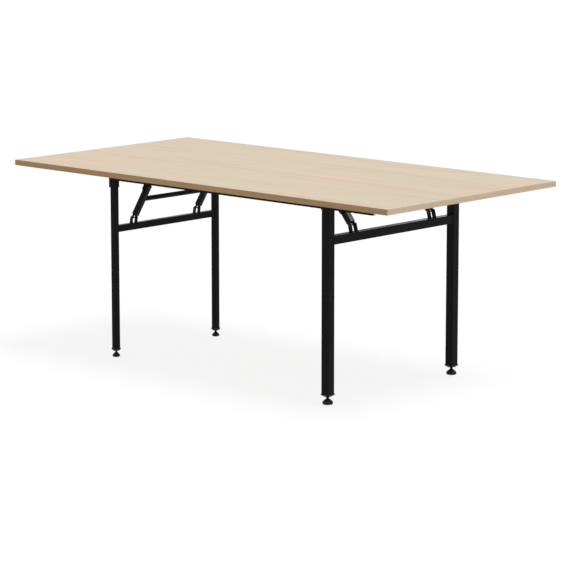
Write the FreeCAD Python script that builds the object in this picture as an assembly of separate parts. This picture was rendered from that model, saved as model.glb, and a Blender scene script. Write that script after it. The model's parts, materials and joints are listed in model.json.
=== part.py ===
import FreeCAD, Part
import math
import os

# Folding table: X runs along the board, Y across it, Z up, origin on the floor under the board's centre.
# Two leg frames fold inward under the board: the narrow one (a, at -X) nests inside the wide one (b, at +X).

# Board with a banded edge
board_length = 1800.0
board_depth = 900.0
board_thickness = 20.0
board_height = 720.0
band_thickness = 2.0
eased_edge = 1.2

# Pivot line of the leg frames and their braces, below the board's underside
pivot_drop = 20.0

# Stiffening rails along the long edges, set back from the board's edges
rail_inset = 56.0
rail_width = 18.0
rail_height = 18.0
rail_wall = 1.5
rail_left_setback = 438.0
rail_right_setback = 94.0
rail_screw_count = 6
rail_screw_margin = 60.0

# Narrow leg frame, set back from the board's edges
a_leg_setback = 330.0
a_leg_inset = 187.0
a_leg_size = 22.0
a_leg_wall = 1.5
a_crossbar_drop = 231.0
a_crossbar_height = 25.0
a_crossbar_depth = 20.0
a_bracket_height = 70.0

# Brace of the narrow frame
a_strut_inset = 98.0
a_strut_width = 20.0
a_strut_depth = 20.0
a_pin_height = 18.5
a_brace_run = 106.0
a_strut_past_knee = 15.0
a_lug_width = 13.0
a_lug_lean = 3.0
a_handle_along = 86.0
a_handle_diameter = 18.0

# Feet of the narrow frame
a_glide_diameter = 28.0
a_glide_height = 17.0
a_stem_diameter = 8.0
a_stem_gap = 5.0

# Wide leg frame, set back from the board's edges
b_leg_setback = 363.0
b_leg_inset = 119.0
b_leg_size = 32.0
b_leg_wall = 1.5
b_crossbar_drop = 141.0
b_crossbar_height = 30.0
b_crossbar_depth = 30.0
b_bracket_height = 31.0

# Brace of the wide frame
b_strut_inset = 123.0
b_strut_width = 22.0
b_strut_depth = 24.0
b_pin_height = 24.0
b_brace_run = 62.0
b_strut_past_knee = 14.0
b_lug_width = 16.0
b_lug_lean = 6.5
b_handle_along = 65.5
b_handle_diameter = 10.0

# Feet of the wide frame
b_glide_diameter = 37.0
b_glide_height = 20.0
b_stem_diameter = 10.0
b_stem_gap = 6.0

# Sheet metal and tube shared by both frames
tube_corner = 2.0
crossbar_wall = 1.5
strut_wall = 1.5
bracket_sheet = 2.5
bracket_flange = 22.0
brace_plate = 3.0
brace_bracket_width = 30.0
brace_bracket_flange = 24.0
brace_bracket_nose = 11.0
link_radius = 9.0
fork_notch = 14.0
handle_wall = 1.5
gusset_length = 22.0
gusset_reach = 10.0
gusset_thickness = 4.0

# Leg plugs and glides
plug_flange_height = 4.0
plug_overhang = 1.5
plug_taper_height = 7.0
plug_taper_margin = 4.0
plug_insert = 20.0
stem_reach = 12.0
glide_rim = 5.0
glide_sole_margin = 2.0
glide_neck = 1.5

# Bolts, bushes, pins, rivets and screws
bolt_diameter = 8.0
bolt_head_diameter = 14.0
bolt_head_height = 4.5
bolt_end = 2.0
nut_width = 13.0
nut_height = 6.5
bush_diameter = 12.0
bush_proud = 0.2
pin_diameter = 5.0
pin_head_diameter = 9.0
pin_head_height = 1.8
rivet_diameter = 8.0
rivet_head_diameter = 13.0
rivet_head_height = 2.5
rivet_flush_diameter = 12.0
rivet_flush_depth = 1.2
knee_rivet_diameter = 6.0
knee_head_diameter = 12.0
knee_head_height = 2.0
screw_diameter = 3.6
screw_head_diameter = 8.0
screw_head_height = 2.4
screw_head_slope = 1.0
screw_bite = 13.0
screw_pitch = 13.0

# Clearances
side_gap = 0.4
running_gap = 0.05
seat_gap = 0.1
stop_gap = 0.3
overcut = 1.0

underside = board_height - board_thickness
pivot_z = underside - pivot_drop
rail_start = rail_left_setback - board_length / 2
rail_end = board_length / 2 - rail_right_setback
a_leg_x = a_leg_setback - board_length / 2
a_leg_spacing = board_depth - 2 * a_leg_inset
a_strut_spacing = a_leg_spacing - 2 * a_strut_inset
a_crossbar_top = board_height - a_crossbar_drop
b_leg_x = board_length / 2 - b_leg_setback
b_leg_spacing = board_depth - 2 * b_leg_inset
b_strut_spacing = b_leg_spacing - 2 * b_strut_inset
b_crossbar_top = board_height - b_crossbar_drop

frame_a = {
    "name": "a", "inward": 1.0, "leg_x": a_leg_x, "leg_spacing": a_leg_spacing, "leg_size": a_leg_size,
    "leg_wall": a_leg_wall, "crossbar_top": a_crossbar_top, "crossbar_height": a_crossbar_height,
    "crossbar_depth": a_crossbar_depth, "bracket_height": a_bracket_height,
    "strut_spacing": a_strut_spacing, "strut_width": a_strut_width, "strut_depth": a_strut_depth,
    "pin_height": a_pin_height, "brace_run": a_brace_run, "past_knee": a_strut_past_knee,
    "lug_width": a_lug_width, "lug_lean": a_lug_lean, "handle_along": a_handle_along,
    "handle_diameter": a_handle_diameter,
    "glide_diameter": a_glide_diameter, "glide_height": a_glide_height,
    "stem_diameter": a_stem_diameter, "stem_gap": a_stem_gap,
}
frame_b = {
    "name": "b", "inward": -1.0, "leg_x": b_leg_x, "leg_spacing": b_leg_spacing, "leg_size": b_leg_size,
    "leg_wall": b_leg_wall, "crossbar_top": b_crossbar_top, "crossbar_height": b_crossbar_height,
    "crossbar_depth": b_crossbar_depth, "bracket_height": b_bracket_height,
    "strut_spacing": b_strut_spacing, "strut_width": b_strut_width, "strut_depth": b_strut_depth,
    "pin_height": b_pin_height, "brace_run": b_brace_run, "past_knee": b_strut_past_knee,
    "lug_width": b_lug_width, "lug_lean": b_lug_lean, "handle_along": b_handle_along,
    "handle_diameter": b_handle_diameter,
    "glide_diameter": b_glide_diameter, "glide_height": b_glide_height,
    "stem_diameter": b_stem_diameter, "stem_gap": b_stem_gap,
}
sides = {"front": -1.0, "back": 1.0}


def box(x0, x1, y0, y1, z0, z1):
    return Part.makeBox(x1 - x0, y1 - y0, z1 - z0, FreeCAD.Vector(x0, y0, z0))


def across(x, z, radius, y0, y1):
    low = min(y0, y1)
    return Part.makeCylinder(radius, abs(y1 - y0), FreeCAD.Vector(x, low, z), FreeCAD.Vector(0, 1, 0))


def cross_hole(x, z, diameter, y0, y1):
    # Running hole along Y, cut a little past both faces
    low, high = sorted((y0, y1))
    return across(x, z, diameter / 2 + running_gap, low - overcut, high + overcut)


def upright(x, y, radius, z0, z1):
    return Part.makeCylinder(radius, z1 - z0, FreeCAD.Vector(x, y, z0))


def bar(x0, x1, y0, y1, z0, z1, axis):
    # Box with the rolled corners of a square tube along one axis
    block = box(x0, x1, y0, y1, z0, z1)
    edges = [edge for edge in block.Edges if abs(edge.tangentAt(edge.FirstParameter).dot(axis)) > 0.5]
    return block.makeFillet(tube_corner, edges)


def slab(x0, x1, side, y0, y1, z0, z1):
    # Box whose Y limits are distances from the middle, on the front or the back side
    low, high = sorted((side * y0, side * y1))
    return box(x0, x1, low, high, z0, z1)


def plate(corners, side, y0, y1):
    # Flat plate from straight and curved edges in the X-Z plane
    face = Part.Face(Part.Wire(corners))
    face.translate(FreeCAD.Vector(0, side * y0, 0))
    return face.extrude(FreeCAD.Vector(0, side * (y1 - y0), 0))


def capsule_edges(start, end, radius):
    along = (end - start).normalize()
    offset = FreeCAD.Vector(-along.z, 0, along.x) * radius
    tip = along * radius
    return [
        Part.LineSegment(start + offset, end + offset).toShape(),
        Part.Arc(end + offset, end + tip, end - offset).toShape(),
        Part.LineSegment(end - offset, start - offset).toShape(),
        Part.Arc(start - offset, start - tip, start + offset).toShape(),
    ]


def brace(frame):
    # Knee brace: straight when the legs stand, folded back on itself when they lie under the board
    inward = frame["inward"]
    pin_z = frame["crossbar_top"] + frame["pin_height"]
    drop = pivot_z - pin_z
    run = frame["brace_run"]
    length = math.hypot(drop, run)
    strut = (length + abs(drop - run)) / 2
    pin = FreeCAD.Vector(frame["leg_x"], 0, pin_z)
    anchor = FreeCAD.Vector(frame["leg_x"] + inward * run, 0, pivot_z)
    along = (anchor - pin).normalize()
    return {
        "pin": pin, "anchor": anchor, "knee": pin + along * strut, "along": along,
        "lean": inward * math.degrees(math.atan2(run, drop)), "strut": strut,
    }


def brace_planes(frame):
    # Distances from the strut's middle plane outward: lug, link and bracket lie side by side
    lug = frame["strut_width"] / 2 + side_gap
    link = lug + brace_plate + side_gap
    bracket = link + brace_plate + side_gap
    return lug, link, bracket


def foot_levels(frame):
    taper = frame["glide_height"] + frame["stem_gap"]
    flange = taper + plug_taper_height
    return taper, flange, flange + plug_flange_height


def bracket_walls(frame):
    # X of the hinge bracket's stop face, its outer face and its open edge
    stop = frame["leg_x"] - frame["inward"] * (frame["leg_size"] / 2 + stop_gap)
    outer = stop - frame["inward"] * bracket_sheet
    return stop, outer, frame["leg_x"] + frame["inward"] * frame["leg_size"] / 2


def bracket_screw_places(frame, side):
    walls = bracket_walls(frame)
    middle = (walls[1] + walls[2]) / 2
    leg_y = frame["leg_spacing"] / 2
    reach = frame["leg_size"] / 2 + side_gap + bracket_sheet + bracket_flange / 2
    places = []
    for y in (leg_y - reach, leg_y + reach):
        for step in (-0.5, 0.5):
            places.append((middle + step * screw_pitch, side * y))
    return places


def brace_screw_places(frame, side):
    outer = frame["strut_spacing"] / 2 + brace_planes(frame)[2] + brace_plate
    y = outer + (brace_bracket_flange - brace_plate) / 2
    anchor_x = brace(frame)["anchor"].x
    return [(anchor_x + step * screw_pitch, side * y) for step in (-0.5, 0.5)]


def rail_screw_places(side):
    y = side * (board_depth / 2 - rail_inset - rail_width / 2)
    first = rail_start + rail_screw_margin
    pitch = (rail_end - rail_start - 2 * rail_screw_margin) / (rail_screw_count - 1)
    return [(first + number * pitch, y) for number in range(rail_screw_count)]


def screw(place, sheet):
    x, y = place
    seat = underside - sheet
    wide = screw_head_diameter / 2
    low = FreeCAD.Vector(x, y, seat - screw_head_height)
    head = Part.makeCone(wide - screw_head_slope, wide, screw_head_height, low)
    return head.fuse(upright(x, y, screw_diameter / 2, seat, underside + screw_bite))


def screw_hole(place, low, high):
    return upright(place[0], place[1], screw_diameter / 2 + running_gap, low, high)


def board_parts():
    half_l = board_length / 2
    half_d = board_depth / 2
    core_l = half_l - band_thickness
    core_d = half_d - band_thickness
    block = box(-half_l, half_l, -half_d, half_d, underside, board_height)
    block = block.makeFillet(eased_edge, block.Edges)
    core = box(-core_l, core_l, -core_d, core_d, underside, board_height)
    places = [place for side in sides.values() for place in rail_screw_places(side)]
    for frame in (frame_a, frame_b):
        for side in sides.values():
            places += bracket_screw_places(frame, side) + brace_screw_places(frame, side)
    pilot = underside + screw_bite + seat_gap
    holes = [screw_hole(place, underside - overcut, pilot) for place in places]
    return {
        "table_top": core.cut(Part.makeCompound(holes)),
        "edge_band_front": block.common(box(-half_l, half_l, -half_d, -core_d, underside, board_height)),
        "edge_band_back": block.common(box(-half_l, half_l, core_d, half_d, underside, board_height)),
        "edge_band_left": block.common(box(-half_l, -core_l, -core_d, core_d, underside, board_height)),
        "edge_band_right": block.common(box(core_l, half_l, -core_d, core_d, underside, board_height)),
    }


def side_rail(side):
    # Channel open toward the middle, its lower corners clipped at both ends
    outer = board_depth / 2 - rail_inset
    inner = outer - rail_width
    low = underside - rail_height
    corners = [(rail_start, underside), (rail_end, underside), (rail_end - rail_height, low),
               (rail_start + rail_height, low), (rail_start, underside)]
    outline = Part.makePolygon([FreeCAD.Vector(x, side * inner, z) for x, z in corners])
    rail = Part.Face(outline).extrude(FreeCAD.Vector(0, side * rail_width, 0))
    rail = rail.cut(slab(rail_start - overcut, rail_end + overcut, side, inner - overcut, outer - rail_wall,
                         low + rail_wall, underside - rail_wall))
    holes = [screw_hole(place, underside - rail_wall - overcut, underside + overcut)
             for place in rail_screw_places(side)]
    return rail.cut(Part.makeCompound(holes))


def leg(frame, side):
    x = frame["leg_x"]
    y = side * frame["leg_spacing"] / 2
    half = frame["leg_size"] / 2
    bore = half - frame["leg_wall"]
    foot = foot_levels(frame)[2]
    post = bar(x - half, x + half, y - half, y + half, foot, pivot_z + half, FreeCAD.Vector(0, 0, 1))
    square = box(x - half, x + half, y - half, y + half, foot, pivot_z)
    post = post.common(square.fuse(across(x, pivot_z, half, y - half, y + half)))
    post = post.cut(box(x - bore, x + bore, y - bore, y + bore, foot - overcut, pivot_z + half + overcut))
    hole = cross_hole(x, pivot_z, bush_diameter, y - half, y + half)
    return post.cut(hole).removeSplitter()


def hinge_bush(frame, side):
    y = side * frame["leg_spacing"] / 2
    half = frame["leg_size"] / 2 + bush_proud
    x = frame["leg_x"]
    sleeve = across(x, pivot_z, bush_diameter / 2, y - half, y + half)
    return sleeve.cut(cross_hole(x, pivot_z, bolt_diameter, y - half, y + half))


def crossbar(frame):
    x = frame["leg_x"]
    reach = (frame["leg_spacing"] - frame["leg_size"]) / 2
    half = frame["crossbar_depth"] / 2
    top = frame["crossbar_top"]
    low = top - frame["crossbar_height"]
    rail = bar(x - half, x + half, -reach, reach, low, top, FreeCAD.Vector(0, 1, 0))
    return rail.cut(box(x - half + crossbar_wall, x + half - crossbar_wall, -reach - overcut, reach + overcut,
                        low + crossbar_wall, top - crossbar_wall))


def hinge_bracket(frame, side):
    # Three-sided sheet bracket: two cheeks, a stop wall on the outer side and two screw flanges
    x = frame["leg_x"]
    y = side * frame["leg_spacing"] / 2
    low = underside - frame["bracket_height"]
    inner_y = frame["leg_size"] / 2 + side_gap
    outer_y = inner_y + bracket_sheet
    stop, outer, opening = bracket_walls(frame)
    x0, x1 = sorted((outer, opening))
    s0, s1 = sorted((stop, opening + frame["inward"]))
    body = box(x0, x1, y - outer_y, y + outer_y, low, underside)
    body = body.cut(box(s0, s1, y - inner_y, y + inner_y, low - overcut, underside + overcut))
    for way in (-1, 1):
        f0, f1 = sorted((y + way * outer_y, y + way * (outer_y + bracket_flange)))
        body = body.fuse(box(x0, x1, f0, f1, underside - bracket_sheet, underside))
    holes = [screw_hole(place, underside - bracket_sheet - overcut, underside + overcut)
             for place in bracket_screw_places(frame, side)]
    holes.append(cross_hole(x, pivot_z, bolt_diameter, y - outer_y, y + outer_y))
    return body.cut(Part.makeCompound(holes)).removeSplitter()


def bolt_span(frame):
    # Distances from the leg's middle to the outer faces of the two cheeks
    return frame["leg_size"] / 2 + side_gap + bracket_sheet


def hinge_bolt(frame, side):
    y = side * frame["leg_spacing"] / 2
    span = bolt_span(frame)
    head = y + side * span
    tip = y - side * (span + nut_height + bolt_end)
    shank = across(frame["leg_x"], pivot_z, bolt_diameter / 2, tip, head)
    cap = across(frame["leg_x"], pivot_z, bolt_head_diameter / 2, head, head + side * bolt_head_height)
    return shank.fuse(cap)


def hinge_nut(frame, side):
    y = side * frame["leg_spacing"] / 2
    near = y - side * bolt_span(frame)
    radius = nut_width / math.sqrt(3)
    points = []
    for number in range(7):
        turn = math.radians(60 * number)
        points.append(FreeCAD.Vector(frame["leg_x"] + radius * math.cos(turn), near,
                                     pivot_z + radius * math.sin(turn)))
    nut = Part.Face(Part.makePolygon(points)).extrude(FreeCAD.Vector(0, -side * nut_height, 0))
    return nut.cut(cross_hole(frame["leg_x"], pivot_z, bolt_diameter, near, near - side * nut_height))


def leg_plug(frame, side):
    x = frame["leg_x"]
    y = side * frame["leg_spacing"] / 2
    taper, flange, top = foot_levels(frame)
    wide = frame["leg_size"] / 2 + plug_overhang
    bore = frame["leg_size"] / 2 - frame["leg_wall"] - seat_gap
    tip = frame["stem_diameter"] / 2 + plug_taper_margin

    def square(half, z):
        corners = [(-half, -half), (half, -half), (half, half), (-half, half), (-half, -half)]
        return Part.makePolygon([FreeCAD.Vector(x + dx, y + dy, z) for dx, dy in corners])

    plug = Part.makeLoft([square(tip, taper), square(wide, flange)], True, True)
    plug = plug.fuse(box(x - wide, x + wide, y - wide, y + wide, flange, top))
    plug = plug.fuse(box(x - bore, x + bore, y - bore, y + bore, top, top + plug_insert))
    radius = frame["stem_diameter"] / 2 + running_gap
    hole = upright(x, y, radius, taper - overcut, top + plug_insert + overcut)
    return plug.cut(hole).removeSplitter()


def levelling_foot(frame, side):
    # Domed glide on a threaded stem, turned about the stem
    radius = frame["glide_diameter"] / 2
    stem = frame["stem_diameter"] / 2
    neck = frame["glide_height"]
    top = foot_levels(frame)[2] + plug_insert + stem_reach
    sole = FreeCAD.Vector(radius - glide_sole_margin, 0, 0)
    rim = FreeCAD.Vector(radius, 0, glide_rim)
    collar = FreeCAD.Vector(stem + glide_neck, 0, neck)
    shoulder = FreeCAD.Vector((rim.x + collar.x) / 2, 0, (rim.z + collar.z) / 2 + glide_neck)
    axis_low = FreeCAD.Vector(0, 0, 0)
    axis_top = FreeCAD.Vector(0, 0, top)
    stem_low = FreeCAD.Vector(stem, 0, neck)
    stem_top = FreeCAD.Vector(stem, 0, top)
    points = [axis_low, sole, rim, shoulder, collar, stem_low, stem_top, axis_top, axis_low]
    profile = Part.Face(Part.makePolygon(points))
    foot = profile.revolve(FreeCAD.Vector(0, 0, 0), FreeCAD.Vector(0, 0, 1), 360)
    foot.translate(FreeCAD.Vector(frame["leg_x"], side * frame["leg_spacing"] / 2, 0))
    return foot


def brace_lugs(frame, side):
    # Pair of plates welded to the crossbar, leaning with the strut and holding its pin
    pin = brace(frame)["pin"]
    middle = frame["strut_spacing"] / 2
    near = brace_planes(frame)[0]
    tail = pin - FreeCAD.Vector(frame["inward"] * frame["lug_lean"], 0, frame["pin_height"]) * 2
    edges = capsule_edges(tail, pin, frame["lug_width"] / 2)
    lugs = []
    reach = frame["crossbar_depth"]
    far = near + brace_plate
    for y0, y1 in ((middle - far, middle - near), (middle + near, middle + far)):
        keep = slab(pin.x - reach, pin.x + reach, side, y0, y1, frame["crossbar_top"], pivot_z)
        hole = cross_hole(pin.x, pin.z, pin_diameter, side * y0, side * y1)
        lugs.append(plate(edges, side, y0, y1).common(keep).cut(hole))
    return lugs


def strut_pin(frame, side):
    pin = brace(frame)["pin"]
    middle = side * frame["strut_spacing"] / 2
    reach = brace_planes(frame)[0] + brace_plate
    rod = across(pin.x, pin.z, pin_diameter / 2, middle - reach, middle + reach)
    for way in (-1, 1):
        face = middle + way * reach
        rod = rod.fuse(across(pin.x, pin.z, pin_head_diameter / 2, face, face + way * pin_head_height))
    return rod


def set_on_strut(shape, frame, side):
    # Turns a shape made upright about the strut pin to the strut's lean and moves it to its place
    layout = brace(frame)
    shape.rotate(FreeCAD.Vector(0, 0, 0), FreeCAD.Vector(0, 1, 0), layout["lean"])
    shape.translate(layout["pin"] + FreeCAD.Vector(0, side * frame["strut_spacing"] / 2, 0))
    return shape


def strut(frame, side):
    # Square tube with a forked foot on the pin and a cross hole for the knee rivet
    half_d = frame["strut_depth"] / 2
    half_w = frame["strut_width"] / 2
    knee = brace(frame)["strut"]
    top = knee + frame["past_knee"]
    bore_d = half_d - strut_wall
    bore_w = half_w - strut_wall
    tube = bar(-half_d, half_d, -half_w, half_w, -half_d, top, FreeCAD.Vector(0, 0, 1))
    square = box(-half_d, half_d, -half_w, half_w, 0, top)
    tube = tube.common(square.fuse(across(0, 0, half_d, -half_w, half_w)))
    tube = tube.cut(box(-bore_d, bore_d, -bore_w, bore_w, -half_d - overcut, top + overcut))
    tube = tube.cut(box(-half_d - overcut, half_d + overcut, -bore_w, bore_w, -half_d - overcut, fork_notch))
    tube = tube.cut(cross_hole(0, 0, pin_diameter, -half_w, half_w))
    tube = tube.cut(cross_hole(0, knee, knee_rivet_diameter, -half_w, half_w))
    return set_on_strut(tube.removeSplitter(), frame, side)


def knee_rivet(frame, side):
    # Flush on the inner side; a collar on the outer side keeps the link clear of the strut
    half_w = frame["strut_width"] / 2
    knee = brace(frame)["strut"]
    collar = brace_planes(frame)[1] - side_gap
    rivet = across(0, knee, knee_rivet_diameter / 2, -side * half_w, side * half_w)
    rivet = rivet.fuse(across(0, knee, knee_head_diameter / 2, side * half_w, side * collar))
    return set_on_strut(rivet, frame, side)


def handle_bar(frame):
    # Tube between the two struts, to pull both knees at once
    layout = brace(frame)
    centre = layout["pin"] + layout["along"] * frame["handle_along"]
    reach = (frame["strut_spacing"] - frame["strut_width"]) / 2
    radius = frame["handle_diameter"] / 2
    tube = across(centre.x, centre.z, radius, -reach, reach)
    return tube.cut(across(centre.x, centre.z, radius - handle_wall, -reach - overcut, reach + overcut))


def handle_gusset(frame, side):
    # Small triangular plate in the corner above the handle bar
    half_w = frame["strut_width"] / 2
    half_t = gusset_thickness / 2
    radius = frame["handle_diameter"] / 2
    along = frame["handle_along"]
    corners = [(0, 0), (gusset_reach, 0), (gusset_reach, radius), (0, radius + gusset_length), (0, 0)]
    outline = [FreeCAD.Vector(-half_t, -side * (half_w + reach), along + up) for reach, up in corners]
    gusset = Part.Face(Part.makePolygon(outline)).extrude(FreeCAD.Vector(gusset_thickness, 0, 0))
    tip = half_w + gusset_reach + overcut
    gusset = gusset.cut(across(0, along, radius, -side * (half_w - overcut), -side * tip))
    return set_on_strut(gusset, frame, side)


def brace_link(frame, side):
    # Flat link from the bracket to the knee, with a pressed boss at the knee
    layout = brace(frame)
    anchor = layout["anchor"]
    knee = layout["knee"]
    near = frame["strut_spacing"] / 2 + brace_planes(frame)[1]
    far = near + brace_plate
    sunk = near + rivet_flush_depth + running_gap
    link = plate(capsule_edges(knee, anchor, link_radius), side, near, far)
    boss = across(knee.x, knee.z, knee_head_diameter / 2, side * far, side * (far + knee_head_height))
    hole = cross_hole(anchor.x, anchor.z, rivet_diameter, side * near, side * far)
    wide = rivet_flush_diameter / 2 + running_gap
    recess = across(anchor.x, anchor.z, wide, side * (near - overcut), side * sunk)
    return link.fuse(boss).cut(hole).cut(recess)


def link_rivet(frame, side):
    # Flush head sunk in the link, shank through the bracket, round head outside
    anchor = brace(frame)["anchor"]
    middle = frame["strut_spacing"] / 2
    planes = brace_planes(frame)
    near = middle + planes[1]
    far = middle + planes[2] + brace_plate
    sunk = near + rivet_flush_depth
    cap = far + rivet_head_height
    shank = across(anchor.x, anchor.z, rivet_diameter / 2, side * near, side * far)
    flush_head = across(anchor.x, anchor.z, rivet_flush_diameter / 2, side * near, side * sunk)
    round_head = across(anchor.x, anchor.z, rivet_head_diameter / 2, side * far, side * cap)
    return shank.fuse(flush_head).fuse(round_head)


def brace_bracket(frame, side):
    # Angle screwed under the board: a hanging cheek with a rounded nose and an outward flange
    anchor = brace(frame)["anchor"]
    near = frame["strut_spacing"] / 2 + brace_planes(frame)[2]
    far = near + brace_plate
    half = brace_bracket_width / 2
    nose = brace_bracket_nose
    edges = capsule_edges(anchor, anchor + FreeCAD.Vector(0, 0, 2 * pivot_drop), nose)
    below_board = slab(anchor.x - half, anchor.x + half, side, near, far, pivot_z - nose - overcut, underside)
    cheek = plate(edges, side, near, far).common(below_board)
    flange = slab(anchor.x - half, anchor.x + half, side, near, near + brace_bracket_flange,
                  underside - brace_plate, underside)
    holes = [screw_hole(place, underside - brace_plate - overcut, underside + overcut)
             for place in brace_screw_places(frame, side)]
    holes.append(cross_hole(anchor.x, anchor.z, rivet_diameter, side * near, side * far))
    return cheek.fuse(flange).cut(Part.makeCompound(holes)).removeSplitter()


def assembly():
    nodes = board_parts()
    nodes["rail_screws"] = []
    nodes["bracket_screws"] = []
    nodes["brace_screws"] = []
    for word, side in sides.items():
        nodes["side_rail_" + word] = side_rail(side)
        nodes["rail_screws"] += [screw(place, rail_wall) for place in rail_screw_places(side)]
    nodes["hinge_nuts"] = []
    nodes["link_rivets"] = []
    nodes["handle_gussets_a"] = [handle_gusset(frame_a, side) for side in sides.values()]
    for frame in (frame_a, frame_b):
        name = frame["name"]
        nodes["crossbar_" + name] = crossbar(frame)
        nodes["handle_bar_" + name] = handle_bar(frame)
        nodes["hinge_bushes_" + name] = [hinge_bush(frame, side) for side in sides.values()]
        nodes["strut_pins_" + name] = [strut_pin(frame, side) for side in sides.values()]
        nodes["knee_rivets_" + name] = [knee_rivet(frame, side) for side in sides.values()]
        for word, side in sides.items():
            place = name + "_" + word
            nodes["leg_" + place] = leg(frame, side)
            nodes["leg_plug_" + place] = leg_plug(frame, side)
            nodes["levelling_foot_" + place] = levelling_foot(frame, side)
            nodes["hinge_bracket_" + place] = hinge_bracket(frame, side)
            nodes["hinge_bolt_" + place] = hinge_bolt(frame, side)
            nodes["brace_lugs_" + place] = brace_lugs(frame, side)
            nodes["strut_" + place] = strut(frame, side)
            nodes["brace_link_" + place] = brace_link(frame, side)
            nodes["brace_bracket_" + place] = brace_bracket(frame, side)
            nodes["hinge_nuts"].append(hinge_nut(frame, side))
            nodes["link_rivets"].append(link_rivet(frame, side))
            for spot in bracket_screw_places(frame, side):
                nodes["bracket_screws"].append(screw(spot, bracket_sheet))
            for spot in brace_screw_places(frame, side):
                nodes["brace_screws"].append(screw(spot, brace_plate))
    return nodes


def export(nodes):
    os.makedirs("parts", exist_ok=True)
    for name, shape in sorted(nodes.items()):
        solids = shape if isinstance(shape, list) else [shape]
        solids = [solid for item in solids for solid in item.Solids]
        assert solids and all(solid.isValid() and solid.Volume > 0 for solid in solids), name
        whole = solids[0] if len(solids) == 1 else Part.makeCompound(solids)
        whole.exportStep("parts/" + name + ".step")
        print(name, len(solids), round(sum(solid.Volume for solid in solids)))


export(assembly())
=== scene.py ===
import json
import math
import bpy
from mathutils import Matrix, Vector


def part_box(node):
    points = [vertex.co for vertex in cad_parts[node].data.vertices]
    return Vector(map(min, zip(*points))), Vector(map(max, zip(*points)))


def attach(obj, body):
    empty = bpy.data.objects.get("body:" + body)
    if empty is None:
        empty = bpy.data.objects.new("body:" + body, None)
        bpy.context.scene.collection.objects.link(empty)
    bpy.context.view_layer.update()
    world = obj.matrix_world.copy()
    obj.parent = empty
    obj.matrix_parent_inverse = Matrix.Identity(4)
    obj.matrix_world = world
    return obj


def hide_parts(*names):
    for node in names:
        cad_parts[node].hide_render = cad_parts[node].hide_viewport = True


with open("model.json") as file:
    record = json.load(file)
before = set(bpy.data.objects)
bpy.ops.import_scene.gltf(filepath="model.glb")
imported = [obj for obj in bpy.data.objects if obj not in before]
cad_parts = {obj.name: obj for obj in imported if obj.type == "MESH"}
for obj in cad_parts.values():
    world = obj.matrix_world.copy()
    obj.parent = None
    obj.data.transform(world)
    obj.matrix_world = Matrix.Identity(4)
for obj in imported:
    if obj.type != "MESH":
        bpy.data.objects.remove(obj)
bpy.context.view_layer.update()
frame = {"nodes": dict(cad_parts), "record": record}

mm = 0.001
quarter = math.radians(90)
scene = bpy.context.scene
scene.view_settings.view_transform = "Standard"


def tone(red, green, blue):
    # a colour as seen on screen, 0 to 255, in the linear values that nodes take
    parts = []
    for value in (red / 255, green / 255, blue / 255):
        parts.append(value / 12.92 if value <= 0.04045 else ((value + 0.055) / 1.055) ** 2.4)
    return (*parts, 1)


# camera
cameraView = {"place": (6.67566, -7.19084, 2.0712), "heading": 2.31544, "dip": 0.17942,
              "focalPixels": 2770.5, "imagePixels": 576, "sensor": 36, "sight": 200}
print("camera")
cameraData = bpy.data.cameras.new("camera")
cameraData.sensor_width = cameraView["sensor"]
cameraData.lens = cameraView["focalPixels"] / cameraView["imagePixels"] * cameraView["sensor"]
cameraData.clip_end = cameraView["sight"]
camera = bpy.data.objects.new("camera", cameraData)
scene.collection.objects.link(camera)
level = math.cos(cameraView["dip"])
look = Vector((math.cos(cameraView["heading"]) * level, math.sin(cameraView["heading"]) * level,
               -math.sin(cameraView["dip"])))
camera.location = cameraView["place"]
camera.rotation_euler = look.to_track_quat("-Z", "Y").to_euler()
scene.camera = camera


# node steps that the room, the floor and the effects share
def calculate(tree, operation, *terms, clamp=False):
    # a term is a number or another node's output
    node = tree.nodes.new("ShaderNodeMath")
    node.operation = operation
    node.use_clamp = clamp
    for place, term in enumerate(terms):
        if isinstance(term, (int, float)):
            node.inputs[place].default_value = term
        else:
            tree.links.new(term, node.inputs[place])
    return node.outputs[0]


def remap(tree, value, start=(0, 1), end=(0, 1), kind="LINEAR"):
    node = tree.nodes.new("ShaderNodeMapRange")
    node.interpolation_type = kind
    for label, number in zip(("From Min", "From Max", "To Min", "To Max"), (*start, *end)):
        node.inputs[label].default_value = number
    tree.links.new(value, node.inputs["Value"])
    return node.outputs["Result"]


def seenRays(tree):
    # 1 for rays that show the background: straight to the camera, mirrored or through glass
    path = tree.nodes.new("ShaderNodeLightPath").outputs
    direct = calculate(tree, "MAXIMUM", path["Is Camera Ray"], path["Is Glossy Ray"])
    return calculate(tree, "MAXIMUM", direct, path["Is Transmission Ray"])


# light: a wide soft key from above, a low fill from the right-hand end, an even room, a pale floor
studio = {
    "lamps": {"key": {"from": (0.36, 0.0, 0.93), "strength": 1.75, "width": 25},
              "fill": {"from": (0.96, -0.12, 0.24), "strength": 0.7, "width": 30}},
    "room": 0.45, "roomSeen": 1,  # what lights the table, and what the camera sees
    "floorHalf": 40, "floorDrop": 10.2,  # in m and mm; just below the feet when they are screwed right out
    "floorBounce": 0.45,  # what the floor throws back at the table
    "floorDiffuse": 0.16, "floorGlow": 0.85,  # what the camera sees of it
}
print("light")
for lampName, lamp in studio["lamps"].items():
    lampData = bpy.data.lights.new(lampName, "SUN")
    lampData.energy = lamp["strength"]
    lampData.angle = math.radians(lamp["width"])
    lampObject = bpy.data.objects.new(lampName, lampData)
    scene.collection.objects.link(lampObject)
    lampObject.rotation_euler = Vector(lamp["from"]).to_track_quat("Z", "Y").to_euler()

room = bpy.data.worlds.new("room")
scene.world = room
room.use_nodes = True
roomTree = room.node_tree
roomBack = roomTree.nodes["Background"]
roomBack.inputs["Color"].default_value = (1, 1, 1, 1)
roomLevel = remap(roomTree, seenRays(roomTree), end=(studio["room"], studio["roomSeen"]))
roomTree.links.new(roomLevel, roomBack.inputs["Strength"])

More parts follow.
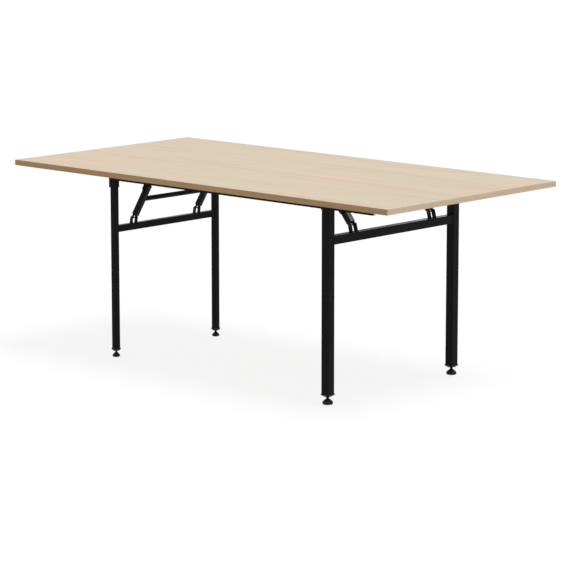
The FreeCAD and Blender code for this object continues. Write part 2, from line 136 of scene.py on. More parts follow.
bpy.ops.object.select_all(action="DESELECT")
bpy.ops.mesh.primitive_plane_add(size=2 * studio["floorHalf"], location=(0, 0, -studio["floorDrop"] * mm))
floor = bpy.context.object
floor.name = "floor"
floorFinish = bpy.data.materials.new("paleFloor")
floorFinish.use_nodes = True
floorTree = floorFinish.node_tree
floorTree.nodes.remove(floorTree.nodes["Principled BSDF"])
floorSeen = seenRays(floorTree)
matte = floorTree.nodes.new("ShaderNodeBsdfDiffuse")
matteLevel = remap(floorTree, floorSeen, end=(studio["floorBounce"], studio["floorDiffuse"]))
floorTree.links.new(matteLevel, matte.inputs["Color"])
glow = floorTree.nodes.new("ShaderNodeEmission")
glowLevel = calculate(floorTree, "MULTIPLY", floorSeen, studio["floorGlow"])
floorTree.links.new(glowLevel, glow.inputs["Strength"])
both = floorTree.nodes.new("ShaderNodeAddShader")
floorTree.links.new(matte.outputs[0], both.inputs[0])
floorTree.links.new(glow.outputs[0], both.inputs[1])
below = floorTree.nodes.new("ShaderNodeNewGeometry")
clear = floorTree.nodes.new("ShaderNodeBsdfTransparent")
oneSided = floorTree.nodes.new("ShaderNodeMixShader")  # clear from below, to show the underside
floorTree.links.new(below.outputs["Backfacing"], oneSided.inputs["Fac"])
floorTree.links.new(both.outputs[0], oneSided.inputs[1])
floorTree.links.new(clear.outputs[0], oneSided.inputs[2])
floorTree.links.new(oneSided.outputs[0], floorTree.nodes["Material Output"].inputs["Surface"])
floor.data.materials.append(floorFinish)


# effects that more than one finish uses
def startGroup(name, inputs):
    tree = bpy.data.node_groups.new(name, "ShaderNodeTree")
    for label, kind, value in inputs:
        socket = tree.interface.new_socket(name=label, in_out="INPUT", socket_type="NodeSocket" + kind)
        if value is not None:
            socket.default_value = value
    for label, kind in (("Color", "Color"), ("Roughness", "Float"), ("Height", "Float")):
        tree.interface.new_socket(name=label, in_out="OUTPUT", socket_type="NodeSocket" + kind)
    return tree, tree.nodes.new("NodeGroupInput").outputs, tree.nodes.new("NodeGroupOutput").inputs


def speckle(tree, vector, form):
    # noise, stretched along an axis and cut to a range
    aim = tree.nodes.new("ShaderNodeMapping")
    aim.inputs["Scale"].default_value = form["stretch"]
    tree.links.new(vector, aim.inputs["Vector"])
    noise = tree.nodes.new("ShaderNodeTexNoise")
    noise.inputs["Scale"].default_value = 1
    noise.inputs["Detail"].default_value = form["detail"]
    noise.inputs["Distortion"].default_value = form.get("wander", 0)
    tree.links.new(aim.outputs["Vector"], noise.inputs["Vector"])
    return remap(tree, noise.outputs["Fac"], start=form["cut"], kind="SMOOTHSTEP")


def mixTones(tree, share, first, second):
    mix = tree.nodes.new("ShaderNodeMix")
    mix.data_type = "RGBA"
    tree.links.new(share, mix.inputs["Factor"])
    tree.links.new(first, mix.inputs[6])  # the colour sockets A and B
    tree.links.new(second, mix.inputs[7])
    return mix.outputs[2]


# pale oak print: broad figure, streaks, fibres and short pores along local X, on a patchy ground
oakForm = {
    "layers": {
        "figure": {"stretch": (0.8, 7.5, 7.5), "detail": 5, "cut": (0.36, 0.74), "wander": 0.7,
                   "darkens": 0.34},
        "streak": {"stretch": (1.6, 60, 60), "detail": 4, "cut": (0.35, 0.75), "wander": 0.25,
                   "darkens": 0.26},
        "fibre": {"stretch": (9, 420, 420), "detail": 2, "cut": (0.3, 0.8), "darkens": 0.16},
        "pore": {"stretch": (36, 1100, 1100), "detail": 1, "cut": (0.62, 0.74), "darkens": 0.3},
    },
    "patch": {"stretch": (2.6, 3.4, 3.4), "detail": 2, "cut": (0.42, 0.68), "wander": 0.4},
    "patchShare": 0.8, "rough": 0.4, "streakRough": 0.1, "fibreHeight": 0.4, "poreHeight": -0.8,
}


def makeOakGroup():
    tree, given, result = startGroup("oakGrain", [
        ("Vector", "Vector", None), ("Light", "Color", tone(212, 194, 167)),
        ("Dark", "Color", tone(182, 157, 125)), ("Figure", "Float", 0.62),
        ("Patch", "Color", tone(217, 190, 163))])
    layers = {}
    grain = 0
    for name, form in oakForm["layers"].items():
        layers[name] = speckle(tree, given["Vector"], form)
        grain = calculate(tree, "MULTIPLY_ADD", layers[name], form["darkens"], grain)
    grain = calculate(tree, "MULTIPLY", grain, given["Figure"], clamp=True)
    patch = speckle(tree, given["Vector"], oakForm["patch"])
    patch = calculate(tree, "MULTIPLY", patch, oakForm["patchShare"])
    ground = mixTones(tree, patch, given["Light"], given["Patch"])
    tree.links.new(mixTones(tree, grain, ground, given["Dark"]), result["Color"])
    rough = calculate(tree, "MULTIPLY_ADD", layers["streak"], oakForm["streakRough"], oakForm["rough"])
    tree.links.new(rough, result["Roughness"])
    height = calculate(tree, "MULTIPLY", layers["fibre"], oakForm["fibreHeight"])
    height = calculate(tree, "MULTIPLY_ADD", layers["pore"], oakForm["poreHeight"], height)
    tree.links.new(height, result["Height"])
    return tree


# sprayed or moulded skin: fine orange peel, cloudy gloss, scuffed spots, and a pale film on what faces up
# that is partly dust and partly painted sheen
coatForm = {
    "peel": {"stretch": (900, 900, 900), "detail": 2, "cut": (0.2, 0.8)},
    "cloud": {"stretch": (14, 14, 9), "detail": 4, "cut": (0.3, 0.75)},
    "scuff": {"stretch": (120, 120, 40), "detail": 5, "cut": (0.6, 0.78)},
    "scuffShare": 0.8, "upward": (0.35, 0.9), "dustAndSheen": 0.25, "cloudDustAndSheen": 0.3,
    "cloudRough": 0.1, "scuffRough": 0.12,
}


def makeCoatGroup():
    tree, given, result = startGroup("coatSkin", [
        ("Vector", "Vector", None), ("Facing", "Vector", None),
        ("Base", "Color", (0.0042, 0.0042, 0.0046, 1)), ("Scuffed", "Color", (0.010, 0.010, 0.011, 1)),
        ("DustAndSheen", "Color", (0.16, 0.16, 0.16, 1)), ("Gloss", "Float", 0.2), ("DustAndSheenShare", "Float", 1.0)])
    peel = speckle(tree, given["Vector"], coatForm["peel"])
    cloud = speckle(tree, given["Vector"], coatForm["cloud"])
    scuff = speckle(tree, given["Vector"], coatForm["scuff"])
    scuffed = calculate(tree, "MULTIPLY", scuff, coatForm["scuffShare"])
    painted = mixTones(tree, scuffed, given["Base"], given["Scuffed"])
    # the film on faces that point up is partly real dust and partly painted sheen: it lightens the tops as
    # light falling on them would
    sides = tree.nodes.new("ShaderNodeSeparateXYZ")
    tree.links.new(given["Facing"], sides.inputs["Vector"])
    upward = remap(tree, sides.outputs["Z"], start=coatForm["upward"])
    cloudy = calculate(tree, "MULTIPLY_ADD", cloud, coatForm["cloudDustAndSheen"], coatForm["dustAndSheen"])
    upwardDustAndSheen = calculate(tree, "MULTIPLY", upward, cloudy)
    film = calculate(tree, "MULTIPLY", upwardDustAndSheen, given["DustAndSheenShare"], clamp=True)
    tree.links.new(mixTones(tree, film, painted, given["DustAndSheen"]), result["Color"])
    rough = calculate(tree, "MULTIPLY_ADD", cloud, coatForm["cloudRough"], given["Gloss"])
    rough = calculate(tree, "MULTIPLY_ADD", scuff, coatForm["scuffRough"], rough)
    tree.links.new(rough, result["Roughness"])
    tree.links.new(peel, result["Height"])
    return tree


print("effects")
oakGroup = makeOakGroup()
coatGroup = makeCoatGroup()
reliefDepth = 0.2  # mm


def makeFinish(name, effect, bump, shader, values=None, turn=(0, 0, 0)):
    # a Principled finish that takes its colour, roughness and relief from one effect
    finish = bpy.data.materials.new(name)
    finish.use_nodes = True
    tree = finish.node_tree
    skin = tree.nodes["Principled BSDF"]
    where = tree.nodes.new("ShaderNodeTexCoord")
    aim = tree.nodes.new("ShaderNodeMapping")
    aim.inputs["Rotation"].default_value = turn
    tree.links.new(where.outputs["Object"], aim.inputs["Vector"])
    use = tree.nodes.new("ShaderNodeGroup")
    use.node_tree = effect
    for label, value in (values or {}).items():
        use.inputs[label].default_value = value
    tree.links.new(aim.outputs["Vector"], use.inputs["Vector"])
    if "Facing" in use.inputs:
        tree.links.new(where.outputs["Normal"], use.inputs["Facing"])
    relief = tree.nodes.new("ShaderNodeBump")
    relief.inputs["Strength"].default_value = bump
    relief.inputs["Distance"].default_value = reliefDepth * mm
    tree.links.new(use.outputs["Height"], relief.inputs["Height"])
    tree.links.new(use.outputs["Color"], skin.inputs["Base Color"])
    tree.links.new(use.outputs["Roughness"], skin.inputs["Roughness"])
    tree.links.new(relief.outputs["Normal"], skin.inputs["Normal"])
    for label, value in shader.items():
        skin.inputs[label].default_value = value
    return finish


finishForm = {
    "oakBoard": {"effect": oakGroup, "bump": 0.05, "shader": {"Specular IOR Level": 0.35}},
    # the long bands at front and back are a darker, warmer copy of the edge oak, painted shade; the short
    # bands at the ends are a lighter copy, painted light
    "oakEdgeLongShaded": {"effect": oakGroup, "bump": 0.05, "shader": {"Specular IOR Level": 0.3},
                    "values": {"Light": tone(199, 165, 122), "Dark": tone(160, 121, 78),
                               "Patch": tone(195, 157, 110), "Figure": 1.0}},
    "oakEdgeShortLit": {"effect": oakGroup, "bump": 0.05, "shader": {"Specular IOR Level": 0.3},
                     "turn": (0, 0, quarter),
                     "values": {"Light": tone(215, 194, 170), "Dark": tone(180, 153, 124),
                                "Patch": tone(217, 190, 168), "Figure": 1.0}},
    "blackPaint": {"effect": coatGroup, "bump": 0.12, "shader": {"Specular IOR Level": 0.07}},
    # frame B's struts: a strong blue-grey film on what faces up, a painted highlight and reflection
    "paintWithPaintedSheen": {"effect": coatGroup, "bump": 0.12, "shader": {"Specular IOR Level": 0.085},
                  "values": {"DustAndSheen": (0.5, 0.56, 0.62, 1), "DustAndSheenShare": 4.9}},
    "blackPlastic": {"effect": coatGroup, "bump": 0.2, "shader": {"Specular IOR Level": 0.16},
                     "values": {"Gloss": 0.34, "DustAndSheenShare": 0.15}},
    "blackenedSteel": {"effect": coatGroup, "bump": 0.06, "shader": {"Metallic": 1.0},
                       "values": {"Base": tone(62, 62, 64), "Scuffed": tone(112, 112, 112),
                                  "Gloss": 0.34, "DustAndSheenShare": 0.2}},
    "zincPlate": {"effect": coatGroup, "bump": 0.06, "shader": {"Metallic": 1.0},
                  "values": {"Base": tone(198, 200, 202), "Scuffed": tone(150, 151, 150),
                             "DustAndSheen": tone(170, 170, 168), "Gloss": 0.3}},
}
slotFinish = {"oak_board": "oakBoard", "oak_edge": "oakEdgeLongShaded", "black_steel": "blackPaint",
              "zinc_steel": "zincPlate", "black_plastic": "blackPlastic"}
shortBands = ("edge_band_left", "edge_band_right")
print("finishes")
finishes = {name: makeFinish(name, **form) for name, form in finishForm.items()}
for subpart in frame["record"]["subparts"]:
    node = subpart["node"]
    finishName = "oakEdgeShortLit" if node in shortBands else slotFinish[subpart["material_slot"]]
    for place in frame["nodes"][node].material_slots:
        place.material = finishes[finishName]


# modelling steps that several pieces share; sizes in mm
smoothAngle = 32
bevelAngle = 30
alongAxis = 0.9  # share of its length from which an edge or a normal counts as along an axis
rowGap = 60  # solids of one node that lie farther apart than this are separate


def clearSelection():
    if bpy.context.object and bpy.context.object.mode != "OBJECT":
        bpy.ops.object.mode_set(mode="OBJECT")
    bpy.ops.object.select_all(action="DESELECT")


def activate(piece):
    clearSelection()
    piece.select_set(True)
    bpy.context.view_layer.objects.active = piece


def applyPlace():
    bpy.ops.object.transform_apply(location=True, rotation=True, scale=True)


def startPicking(piece, kind):
    # leaves the piece in object mode with nothing of its mesh selected
    activate(piece)
    bpy.ops.object.mode_set(mode="EDIT")
    bpy.ops.mesh.select_mode(type=kind)
    bpy.ops.mesh.select_all(action="DESELECT")
    bpy.ops.object.mode_set(mode="OBJECT")


def pickFaces(piece, test):
    # selects the faces whose normal passes, and stays in edit mode
    startPicking(piece, "FACE")
    for face in piece.data.polygons:
        face.select = test(face.normal)
    bpy.ops.object.mode_set(mode="EDIT")


def roundAlong(piece, axis, width, rows):
    # rounds the edges that run along one axis
    startPicking(piece, "EDGE")
    points = piece.data.vertices
    for edge in piece.data.edges:
        run = points[edge.vertices[1]].co - points[edge.vertices[0]].co
        edge.select = abs(run[axis]) > alongAxis * run.length
    bpy.ops.object.mode_set(mode="EDIT")
    bpy.ops.mesh.bevel(offset=width * mm, segments=rows, affect="EDGES")
    bpy.ops.object.mode_set(mode="OBJECT")
    return piece


def faceOutward(piece):
    activate(piece)
    bpy.ops.object.mode_set(mode="EDIT")
    bpy.ops.mesh.select_all(action="SELECT")
    bpy.ops.mesh.normals_make_consistent(inside=False)
    bpy.ops.object.mode_set(mode="OBJECT")
    return piece


def block(x, y, z):
    # a box between three pairs of limits
    clearSelection()
    bpy.ops.mesh.primitive_cube_add(size=1, location=[(low + high) / 2 * mm for low, high in (x, y, z)])
    piece = bpy.context.object
    piece.scale = [(high - low) * mm for low, high in (x, y, z)]
    applyPlace()
    return piece


def turned(steps, places):
    # a turned piece drawn up along Z from a disc, ring by ring; steps are (radius, height)
    clearSelection()
    radius, height = steps[0]
    bpy.ops.mesh.primitive_circle_add(vertices=places, radius=radius * mm, fill_type="NGON",
                                      location=(0, 0, height * mm))
    piece = bpy.context.object
    applyPlace()
    bpy.ops.object.mode_set(mode="EDIT")
    bpy.ops.mesh.select_mode(type="FACE")
    bpy.ops.mesh.select_all(action="SELECT")
    for nextRadius, nextHeight in steps[1:]:
        rise = (0, 0, (nextHeight - height) * mm)
        bpy.ops.mesh.extrude_region_move(TRANSFORM_OT_translate={"value": rise})
        share = nextRadius / radius
        bpy.ops.transform.resize(value=(share, share, 1), center_override=(0, 0, nextHeight * mm))
        radius, height = nextRadius, nextHeight
    bpy.ops.object.mode_set(mode="OBJECT")
    return faceOutward(piece)


def cutWith(piece, cutter):
    activate(piece)
    cut = piece.modifiers.new("cut", "BOOLEAN")
    cut.operation = "DIFFERENCE"
    cut.solver = "EXACT"
    cut.object = cutter
    bpy.ops.object.modifier_apply(modifier=cut.name)
    bpy.data.objects.remove(cutter)


def soften(piece, width, rows):
    activate(piece)
    bevel = piece.modifiers.new("soften", "BEVEL")
    bevel.width = width * mm
    bevel.segments = rows
    bevel.limit_method = "ANGLE"
    bevel.angle_limit = math.radians(bevelAngle)
    bpy.ops.object.modifier_apply(modifier=bevel.name)


def settle(piece, place, turn=(0, 0, 0)):
    # puts a piece's place, in m, and its turn into its mesh
    piece.location = place
    piece.rotation_euler = turn
    activate(piece)
    applyPlace()
    return piece


def copyTo(model, place, turn=(0, 0, 0)):
    piece = model.copy()
    piece.data = model.data.copy()
    scene.collection.objects.link(piece)
    return settle(piece, place, turn)


def joined(parts):
    activate(parts[0])
    for part in parts[1:]:
        part.select_set(True)
    if len(parts) > 1:
        bpy.ops.object.join()
    return parts[0]


def seat(piece, name, body, slot, *nodes, finish=None):
    # gives a finished piece its shading, name, finish and body, in place of CAD nodes if any
    activate(piece)
    applyPlace()
    bpy.ops.object.shade_smooth_by_angle(angle=math.radians(smoothAngle))
    piece.name = name
    piece.data.name = name
    piece.data.materials.clear()
    piece.data.materials.append(finishes[finish or slotFinish[slot]])
    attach(piece, body)
    if nodes:
        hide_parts(*nodes)


def spots(node, reach, topBand=None):
    # lowest and highest corners of each separate solid of a node, or of its topmost band alone
    points = [vertex.co.copy() for vertex in frame["nodes"][node].data.vertices]
    if topBand:
        top = max(point.z for point in points)
        points = [point for point in points if point.z > top - topBand * mm]
    groups = []
    for point in points:
        for group in groups:
            if (point - group[0]).length < reach * mm:
                group.append(point)
                break
        else:
            groups.append([point])
    corners = []
    for group in groups:
        low = Vector([min(point[axis] for point in group) for axis in range(3)])
        high = Vector([max(point[axis] for point in group) for axis in range(3)])
        corners.append((low, high))
    return corners


def sideways(way):
    # turn that lays a piece made along Z toward +Y or -Y
    return (-way * quarter, 0, 0)


def innerEnd(low, high):
    # which way a cross piece points from the table's middle, and the centre of its inner end
    way = 1 if high.y > 0 else -1
    return way, ((low.x + high.x) / 2, low.y if way > 0 else high.y, (low.z + high.z) / 2)


frames = ("a", "b")
ends = {"front": -1, "back": 1}

# domed glides on threaded stems
glideForm = {
    "a": {"radius": 14, "height": 17, "stem": 4, "pitch": 1.25, "threads": 22},
    "b": {"radius": 18.5, "height": 20, "stem": 5, "pitch": 1.5, "threads": 20},
    "sole": [(5.0, 0.5), (4.2, 0), (2.8, 0.2), (1.4, 1.1), (0.4, 2.6), (0, 4.4)],  # in from the rim, height
    "rimIn": 0.1, "rimTop": 0.34,
    "dome": [(0.96, 0.44), (0.89, 0.55), (0.79, 0.65), (0.67, 0.74), (0.56, 0.82), (0.48, 0.88)],  # shares
    "neck": [(2.2, 0.93), (1.6, 0.96)],  # past the stem, share of the height
    "collar": [(1.4, 0.5), (1.1, 0)],  # past the stem, below the top
    "threadDeep": 0.6, "runOut": 0.6, "stemIn": 0.05, "tip": 0.8, "places": 48,
}
print("glides")
for letter in frames:
    form = glideForm[letter]
    wide, tall, stem = form["radius"], form["height"], form["stem"]
    root = stem - glideForm["threadDeep"]
    steps = [(wide - inward, height) for inward, height in glideForm["sole"]]
    steps.append((wide - glideForm["rimIn"], glideForm["rimTop"] * tall))
    steps += [(wide * across, tall * up) for across, up in glideForm["dome"]]
    steps += [(stem + past, tall * up) for past, up in glideForm["neck"]]
    steps += [(stem + past, tall - down) for past, down in glideForm["collar"]]
    steps.append((root, tall))
    height = tall
    for thread in range(form["threads"]):
        height += form["pitch"] / 2
        steps.append((stem, height))
        height += form["pitch"] / 2
        steps.append((root, height))
    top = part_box("levelling_foot_" + letter + "_front")[1].z / mm
    shank, tip = stem - glideForm["stemIn"], glideForm["tip"]
    steps += [(shank, height + glideForm["runOut"]), (shank, top - tip), (stem - tip, top)]
    model = turned(steps, glideForm["places"])
    for word in ends:
        place = letter + "_" + word
        low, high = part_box("levelling_foot_" + place)
        glide = copyTo(model, ((low.x + high.x) / 2, (low.y + high.y) / 2, 0))
        seat(glide, "glide_" + place, "foot_" + place, "black_plastic", "levelling_foot_" + place)
    bpy.data.objects.remove(model)

# square plugs in the leg ends: a flange, a pyramid below, a spigot inside the tube
plugForm = {
    "a": {"half": 12.5, "tip": 8, "spigot": 9.4, "bore": 4.05},
    "b": {"half": 17.5, "tip": 9, "spigot": 14.4, "bore": 5.05},
    "flange": 4, "taper": 7, "insert": 20, "edge": 0.8, "edgeRows": 3, "spare": 5, "places": 40,
}
print("plugs")
for letter in frames:
    form = plugForm[letter]
    half, taper = form["half"], plugForm["taper"]
    flangeTop = taper + plugForm["flange"]
    model = block((-half, half), (-half, half), (taper, flangeTop))
    pickFaces(model, lambda normal: normal.z < -alongAxis)
    bpy.ops.mesh.extrude_region_move(TRANSFORM_OT_translate={"value": (0, 0, -taper * mm)})
    share = form["tip"] / half
    bpy.ops.transform.resize(value=(share, share, 1), center_override=(0, 0, 0))
    bpy.ops.object.mode_set(mode="OBJECT")
    pickFaces(model, lambda normal: normal.z > alongAxis)
    bpy.ops.mesh.inset(thickness=(half - form["spigot"]) * mm)
    bpy.ops.mesh.extrude_region_move(TRANSFORM_OT_translate={"value": (0, 0, plugForm["insert"] * mm)})
    bpy.ops.object.mode_set(mode="OBJECT")
    faceOutward(model)
    soften(model, plugForm["edge"], plugForm["edgeRows"])
    drillTop = flangeTop + plugForm["insert"] + plugForm["spare"]
    drill = turned([(form["bore"], -plugForm["spare"]), (form["bore"], drillTop)], plugForm["places"])
    cutWith(model, drill)
    for word in ends:
        place = letter + "_" + word
        low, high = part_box("leg_plug_" + place)
        plug = copyTo(model, ((low.x + high.x) / 2, (low.y + high.y) / 2, low.z))
        seat(plug, "plug_" + place, "frame_" + letter, "black_plastic", "leg_plug_" + place)
    bpy.data.objects.remove(model)

# hinge bolts with a button head and a hexagon socket
boltForm = {
    "shank": 4, "endIn": 0.7, "endTall": 0.8, "head": 7, "headTall": 4.5,
    # in from the rim, height
    "headRings": [(0, 0), (0, 1.0), (0.35, 2.2), (1.2, 3.4), (2.4, 4.15), (3.6, 4.5)],
    "socket": 2.9, "socketDeep": 2.6, "socketSides": 6, "spare": 2, "places": 40,
}
print("bolts")
shank, tall = boltForm["shank"], boltForm["headTall"]
for letter in frames:
    for word, way in ends.items():
        place = letter + "_" + word
        low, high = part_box("hinge_bolt_" + place)
        long = (high.y - low.y) / mm - tall
        steps = [(shank - boltForm["endIn"], -long), (shank, boltForm["endTall"] - long), (shank, 0)]
        steps += [(boltForm["head"] - inward, height) for inward, height in boltForm["headRings"]]
        bolt = turned(steps, boltForm["places"])
        socket = turned([(boltForm["socket"], tall - boltForm["socketDeep"]),
                         (boltForm["socket"], tall + boltForm["spare"])], boltForm["socketSides"])
        cutWith(bolt, socket)
        headFoot = (high.y - tall * mm) if way > 0 else (low.y + tall * mm)
        settle(bolt, ((low.x + high.x) / 2, headFoot, (low.z + high.z) / 2), sideways(way))
        seat(bolt, "bolt_" + place, "top", "zinc_steel", "hinge_bolt_" + place)

# hexagon nuts on the hinge bolts
nutForm = {"sides": 6, "across": 13, "tall": 6.5, "turn": 30, "edge": 0.5, "edgeRows": 2, "bore": 4.05,
           "places": 32}
print("nuts")
clearSelection()
bpy.ops.mesh.primitive_cylinder_add(vertices=nutForm["sides"], radius=nutForm["across"] / math.sqrt(3) * mm,
                                    depth=nutForm["tall"] * mm)
nutModel = bpy.context.object
nutModel.rotation_euler = (0, 0, math.radians(nutForm["turn"]))
applyPlace()
soften(nutModel, nutForm["edge"], nutForm["edgeRows"])
cutWith(nutModel, turned([(nutForm["bore"], -nutForm["tall"]), (nutForm["bore"], nutForm["tall"])],
                         nutForm["places"]))
nuts = []
for low, high in spots("hinge_nuts", rowGap):
    nuts.append(copyTo(nutModel, (low + high) / 2, sideways(1)))
bpy.data.objects.remove(nutModel)
seat(joined(nuts), "nuts", "top", "zinc_steel", "hinge_nuts")

# pan-head screws with a cross recess, heads down
screwForm = {
    "headRings": [(1.4, 0), (2.6, 0.25), (3.4, 0.85), (3.9, 1.6), (4, 2.2), (4, 2.4)],  # radius, height
    "headTall": 2.4, "shank": 1.8, "point": 2.5, "tip": 0.4, "places": 28,
    "slotWide": 0.9, "slotReach": 1.7, "slotDeep": 1.3,
    "turnStep": 37, "turnRepeat": 90,  # each screw stopped at another angle
    "gap": 5, "topBand": 0.2,  # told apart by their points
    "sets": {"rail_screws": "screws_rails", "bracket_screws": "screws_brackets",
             "brace_screws": "screws_braces"},
}
print("screws")
for node, name in screwForm["sets"].items():
    low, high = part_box(node)
    long = (high.z - low.z) / mm
    shank, tall = screwForm["shank"], screwForm["headTall"]
    stem = [(shank, tall), (shank, long - screwForm["point"]), (screwForm["tip"], long)]
    screwModel = turned(screwForm["headRings"] + stem, screwForm["places"])
    wide, deep = screwForm["slotWide"] / 2, screwForm["slotDeep"]
    cross = block((-wide, wide), (-wide, wide), (-deep, deep))
    pickFaces(cross, lambda normal: abs(normal.z) < alongAxis)
    bpy.ops.mesh.extrude_faces_move(TRANSFORM_OT_shrink_fatten={"value": screwForm["slotReach"] * mm})
    bpy.ops.object.mode_set(mode="OBJECT")
    faceOutward(cross)
    cutWith(screwModel, cross)
    screws = []
    for number, (first, last) in enumerate(spots(node, screwForm["gap"], screwForm["topBand"])):
        place = ((first.x + last.x) / 2, (first.y + last.y) / 2, low.z)
        turn = math.radians(screwForm["turnStep"] * number % screwForm["turnRepeat"])
        screws.append(copyTo(screwModel, place, (0, 0, turn)))
    bpy.data.objects.remove(screwModel)
    seat(joined(screws), name, "top", "zinc_steel", node)

# rivets and pins of the braces
rivetForm = {"flush": 6, "flushDeep": 1.2, "edge": 0.2, "shank": 4, "head": 6.5, "headTall": 2.5,
             "places": 36}
pinForm = {"shank": 2.5, "head": 4.5, "headTall": 1.8, "places": 28}
kneeForm = {"shank": 3, "edge": 0.3, "through": {"a": 20, "b": 22},  # the strut's width
            "collar": 6, "collarEdge": 0.4, "places": 32}
domeRings = [(1, 0), (1, 0.25), (0.9, 0.62), (0.66, 0.88), (0.3, 1)]  # shares of radius and height


def dome(wide, foot, tall):
    # rings of a low domed head that starts at a height
    return [(wide * across, foot + tall * up) for across, up in domeRings]


print("rivets and pins")
rivets = []
for low, high in spots("link_rivets", rowGap):
    way, place = innerEnd(low, high)
    flush, deep, edge = rivetForm["flush"], rivetForm["flushDeep"], rivetForm["edge"]
    shank, tall = rivetForm["shank"], rivetForm["headTall"]
    headFoot = (high.y - low.y) / mm - tall
    steps = [(flush - edge, 0), (flush, edge), (flush, deep), (shank, deep), (shank, headFoot)]
    rivet = turned(steps + dome(rivetForm["head"], headFoot, tall), rivetForm["places"])
    rivets.append(settle(rivet, place, sideways(way)))
seat(joined(rivets), "rivets_links", "top", "zinc_steel", "link_rivets")
for letter in frames:
    pins = []
    for low, high in spots("strut_pins_" + letter, rowGap):
        tall, shank = pinForm["headTall"], pinForm["shank"]
        headFoot = (high.y - low.y) / mm - tall
        lowHead = [(radius, tall - height) for radius, height in reversed(dome(pinForm["head"], 0, tall))]
        pin = turned(lowHead + [(shank, tall), (shank, headFoot)] + dome(pinForm["head"], headFoot, tall),
                     pinForm["places"])
        pins.append(settle(pin, ((low.x + high.x) / 2, low.y, (low.z + high.z) / 2), sideways(1)))
    seat(joined(pins), "pins_" + letter, "frame_" + letter, "zinc_steel", "strut_pins_" + letter,
         finish="blackenedSteel")
    knees = []
    for low, high in spots("knee_rivets_" + letter, rowGap):
        way, place = innerEnd(low, high)
        long = (high.y - low.y) / mm
        shank, collar, through = kneeForm["shank"], kneeForm["collar"], kneeForm["through"][letter]
        edge, collarEdge = kneeForm["edge"], kneeForm["collarEdge"]
        knee = turned([(shank - edge, 0), (shank, edge), (shank, through), (collar, through),
                       (collar, long - collarEdge), (collar - collarEdge, long)], kneeForm["places"])
        knees.append(settle(knee, place, sideways(way)))
    seat(joined(knees), "knees_" + letter, "brace_" + letter, "zinc_steel", "knee_rivets_" + letter,
         finish="blackenedSteel")

# brace struts: square tube, its cheeks drawn in to two eyes on the pin
strutForm = {
    "a": {"deep": 20, "wide": 20, "drop": 172.5, "run": 106, "pastKnee": 15, "shoulder": 14, "eye": 8.5,
          "finish": "blackPaint"},
    # frame B's struts take the paint with a painted highlight on their upward faces
    "b": {"deep": 24, "wide": 22, "drop": 77, "run": -62, "pastKnee": 14, "shoulder": 9.5, "eye": 13,
          "finish": "paintWithPaintedSheen"},
    "wall": 1.5, "corner": 2, "cornerRows": 4, "fillet": 2.5, "pinBore": 2.55, "kneeBore": 3.05, "spare": 5,
    "places": 40,
}


def crossBar(radius, reach, height):
    # a round bar along Y at a height on the strut
    rod = turned([(radius, -reach), (radius, reach)], strutForm["places"])
    return settle(rod, (0, 0, height * mm), sideways(1))


print("struts")
for letter in frames:
    form = strutForm[letter]
    deep, wide, eye, spare = form["deep"] / 2, form["wide"] / 2, form["eye"] / 2, strutForm["spare"]
    run, drop = form["run"], form["drop"]
    # strut and link lie in line at rest and back on each other when folded, which sets the strut's length
    knee = (math.hypot(run, drop) + abs(drop - abs(run))) / 2
    top = knee + form["pastKnee"]
    model = block((-deep, deep), (-wide, wide), (-eye, top))
    roundAlong(model, 2, strutForm["corner"], strutForm["cornerRows"])
    boreDeep, boreWide = deep - strutForm["wall"], wide - strutForm["wall"]
    cutWith(model, block((-boreDeep, boreDeep), (-boreWide, boreWide), (-eye - spare, top + spare)))
    across = (-wide - spare, wide + spare)
    for side in (-1, 1):
        limits = sorted((side * eye, side * (deep + spare)))
        waist = block(limits, across, (-eye - spare, form["shoulder"]))
        cutWith(model, roundAlong(waist, 1, strutForm["fillet"], strutForm["cornerRows"]))
    tip = block((-eye - spare, eye + spare), across, (-eye - spare, 0))
    cutWith(tip, crossBar(eye, wide + 2 * spare, 0))
    cutWith(model, tip)
    cutWith(model, crossBar(strutForm["pinBore"], wide + spare, 0))
    cutWith(model, crossBar(strutForm["kneeBore"], wide + spare, knee))
    faceOutward(model)
    pinSpots = sorted(spots("strut_pins_" + letter, rowGap), key=lambda corners: corners[0].y)
    for (low, high), word in zip(pinSpots, ends):
        place = letter + "_" + word
        strut = copyTo(model, (low + high) / 2, (0, math.atan2(run, drop), 0))
        seat(strut, "strut_tube_" + place, "brace_" + letter, "black_steel", "strut_" + place,
             finish=form["finish"])
        even = strut.modifiers.new("even", "WEIGHTED_NORMAL")  # keeps the flat sides flat
        even.keep_sharp = True
        bpy.ops.object.modifier_apply(modifier=even.name)
    bpy.data.objects.remove(model)

# weld beads, a run of ripples along each joint
weldForm = {
    "radius": 2.0, "endIn": 1.6, "lugRadius": 1.6, "lugEndIn": 1, "ripple": 1.7, "fewest": 3, "places": 12,
    "crest": 0.45, "valley": 0.98, "dip": 0.84,  # along a ripple, and the valley's share of the radius
    "endShare": 0.35, "nextShare": 0.8, "nextAlong": 0.15,
    "ringRadius": 1.3, "ringPlaces": 36, "ringSides": 10, "ringUneven": 0.25, "ringSeed": 7,
}
lugForm = {"plate": 3, "a": {"width": 13, "lean": -3}, "b": {"width": 16, "lean": 6.5}}  # feet of the lugs


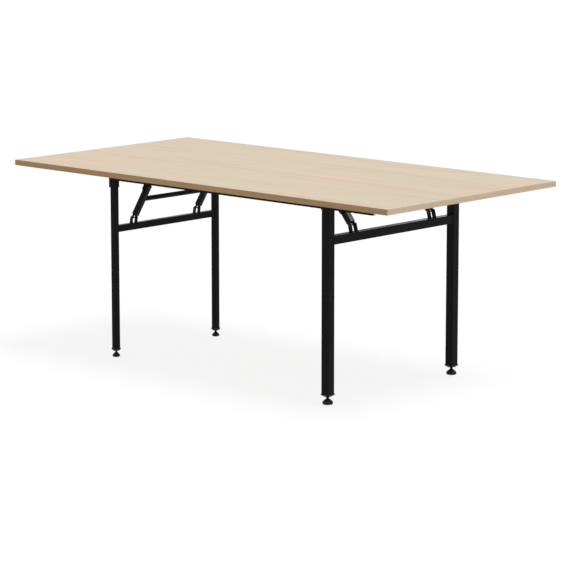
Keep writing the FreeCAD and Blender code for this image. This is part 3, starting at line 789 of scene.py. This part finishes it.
def bead(start, finish, radius):
    start, finish = Vector(start), Vector(finish)
    long = (finish - start).length / mm
    ripples = max(weldForm["fewest"], round(long / weldForm["ripple"]))
    pace = long / ripples
    endRing, nextRing = radius * weldForm["endShare"], radius * weldForm["nextShare"]
    nextAlong = weldForm["nextAlong"] * pace
    steps = [(endRing, 0), (nextRing, nextAlong)]
    for number in range(ripples):
        steps.append((radius, (number + weldForm["crest"]) * pace))
        if number < ripples - 1:
            steps.append((radius * weldForm["dip"], (number + weldForm["valley"]) * pace))
    steps += [(nextRing, long - nextAlong), (endRing, long)]
    run = turned(steps, weldForm["places"])
    return settle(run, start, (finish - start).to_track_quat("Z", "Y").to_euler())


print("welds")
for letter in frames:
    beads = []
    low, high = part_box("crossbar_" + letter)
    inset = weldForm["endIn"] * mm
    for y in (low.y, high.y):
        for z in (low.z, high.z):
            beads.append(bead((low.x + inset, y, z), (high.x - inset, y, z), weldForm["radius"]))
        for x in (low.x, high.x):
            beads.append(bead((x, y, low.z + inset), (x, y, high.z - inset), weldForm["radius"]))
    form = lugForm[letter]
    footX = (low.x + high.x) / 2 + form["lean"] * mm
    reach = (form["width"] / 2 - weldForm["lugEndIn"]) * mm
    plate = lugForm["plate"] * mm
    for word in ends:
        lowLug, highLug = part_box("brace_lugs_" + letter + "_" + word)
        for y in (lowLug.y, lowLug.y + plate, highLug.y - plate, highLug.y):
            start, finish = (footX - reach, y, high.z), (footX + reach, y, high.z)
            beads.append(bead(start, finish, weldForm["lugRadius"]))
    seat(joined(beads), "welds_frame_" + letter, "frame_" + letter, "black_steel")
    rings = []
    lowBar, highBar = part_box("handle_bar_" + letter)
    radius = (highBar.z - lowBar.z) / 2
    for y in (lowBar.y, highBar.y):
        clearSelection()
        bpy.ops.mesh.primitive_torus_add(major_radius=radius, minor_radius=weldForm["ringRadius"] * mm,
                                         major_segments=weldForm["ringPlaces"],
                                         minor_segments=weldForm["ringSides"])
        ring = bpy.context.object
        bpy.ops.object.mode_set(mode="EDIT")
        bpy.ops.mesh.select_all(action="SELECT")
        bpy.ops.transform.vertex_random(offset=weldForm["ringUneven"] * mm, seed=weldForm["ringSeed"])
        bpy.ops.object.mode_set(mode="OBJECT")
        rings.append(settle(ring, ((lowBar.x + highBar.x) / 2, y, (lowBar.z + highBar.z) / 2), sideways(1)))
    seat(joined(rings), "welds_handle_" + letter, "brace_" + letter, "black_steel")

print("done")
